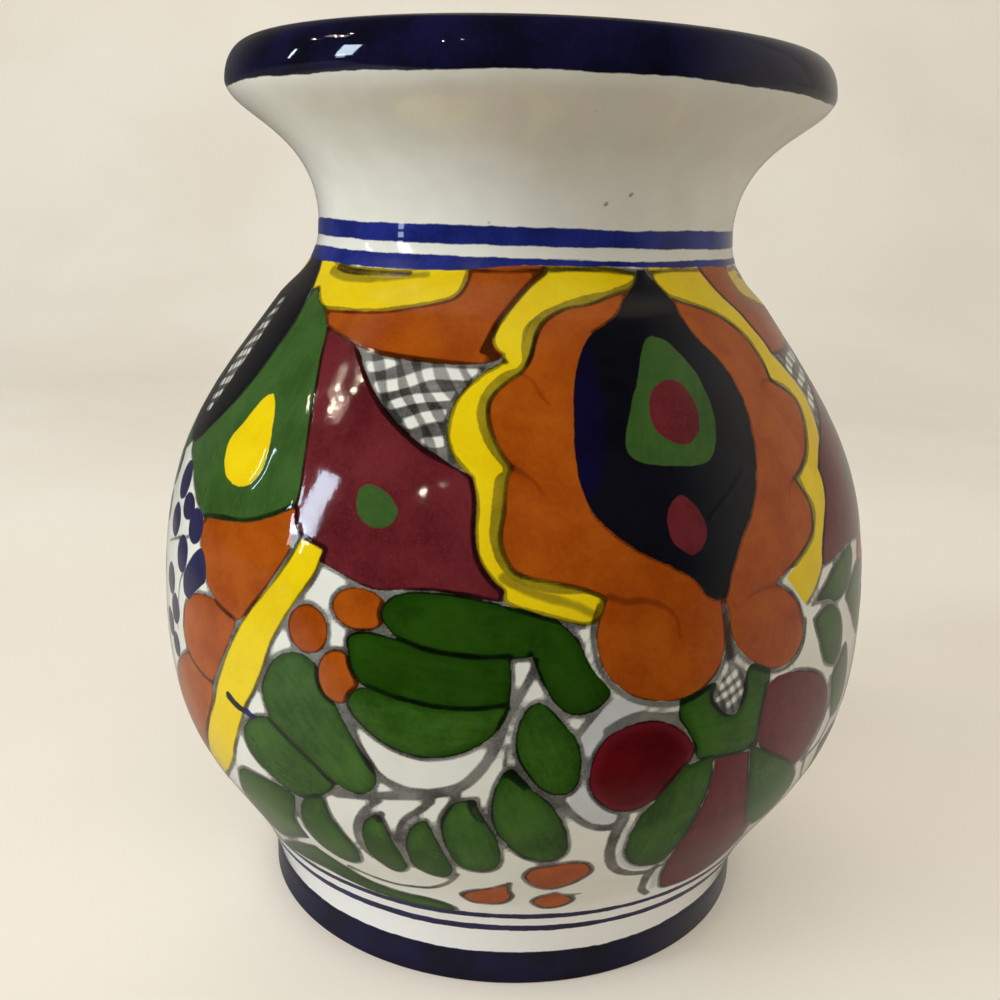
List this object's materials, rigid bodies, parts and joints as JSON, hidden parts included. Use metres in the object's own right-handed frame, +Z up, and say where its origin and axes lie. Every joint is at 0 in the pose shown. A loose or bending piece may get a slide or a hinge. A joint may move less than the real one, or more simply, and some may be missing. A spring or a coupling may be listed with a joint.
{
  "type": "talavera vase",
  "caption": "Round-bellied earthenware vase with a flared collar and rolled lip, tin glazed in white, with cobalt bands and raised enamel medallions.",
  "frame": {"origin": "centre of the resting face under the foot ring", "axes": "+Z up the turning axis, -Y towards the side with the main medallion, which stands 27 degrees to the right of -Y"},
  "size_m": [0.1634, 0.1634, 0.1895],
  "materials": {
    "white_glaze": "warm white tin glaze, glossy, faintly speckled",
    "bare_clay": "unglazed fired clay on the resting edge",
    "rim_glaze": "near-black cobalt, glossy",
    "foot_glaze": "dark cobalt, glossy",
    "cobalt_line": "brushed cobalt line",
    "yellow_enamel": "raised yellow enamel",
    "orange_enamel": "raised orange-brown enamel",
    "maroon_enamel": "raised maroon enamel, slightly grainy",
    "green_enamel": "raised leaf-green enamel",
    "navy_enamel": "raised blue-black enamel"
  },
  "bodies": {
    "root": {"foot_ring": "bare_clay", "body_globe": "white_glaze", "neck_collar": "white_glaze", "foot_band": "foot_glaze", "foot_line_lower": "cobalt_line", "foot_line_upper": "cobalt_line", "neck_stripe_lower": "cobalt_line", "neck_stripe_upper": "cobalt_line", "rim_glaze": "rim_glaze", "front_medallion_field_left": "orange_enamel", "front_medallion_border_left": "yellow_enamel", "front_medallion_field_right": "orange_enamel", "front_medallion_border_right": "yellow_enamel", "front_medallion_eye": "navy_enamel", "front_medallion_drop": "green_enamel", "front_medallion_pupil": "maroon_enamel", "front_left_arch": "yellow_enamel", "front_left_lunette": "orange_enamel", "front_left_wing": "maroon_enamel", "front_left_petal": "green_enamel", "front_left_bead": "yellow_enamel", "front_left_bar": "yellow_enamel", "front_left_lobes": "orange_enamel", "front_left_leaf": "green_enamel", "front_right_arch": "yellow_enamel", "front_right_lunette": "orange_enamel", "front_right_wing": "maroon_enamel", "front_right_petal": "green_enamel", "front_right_bead": "yellow_enamel", "front_right_bar": "yellow_enamel", "front_right_lobes": "orange_enamel", "front_right_leaf": "green_enamel", "front_side_panel": "navy_enamel", "front_flower_petal": "maroon_enamel", "back_medallion_field_left": "orange_enamel", "back_medallion_border_left": "yellow_enamel", "back_medallion_field_right": "orange_enamel", "back_medallion_border_right": "yellow_enamel", "back_medallion_eye": "navy_enamel", "back_medallion_drop": "green_enamel", "back_medallion_pupil": "maroon_enamel", "back_left_arch": "yellow_enamel", "back_left_lunette": "orange_enamel", "back_left_wing": "maroon_enamel", "back_left_petal": "green_enamel", "back_left_bead": "yellow_enamel", "back_left_bar": "yellow_enamel", "back_left_lobes": "orange_enamel", "back_left_leaf": "green_enamel", "back_right_arch": "yellow_enamel", "back_right_lunette": "orange_enamel", "back_right_wing": "maroon_enamel", "back_right_petal": "green_enamel", "back_right_bead": "yellow_enamel", "back_right_bar": "yellow_enamel", "back_right_lobes": "orange_enamel", "back_right_leaf": "green_enamel", "back_side_panel": "navy_enamel", "back_flower_petal": "maroon_enamel"}
  },
  "joints": []
}
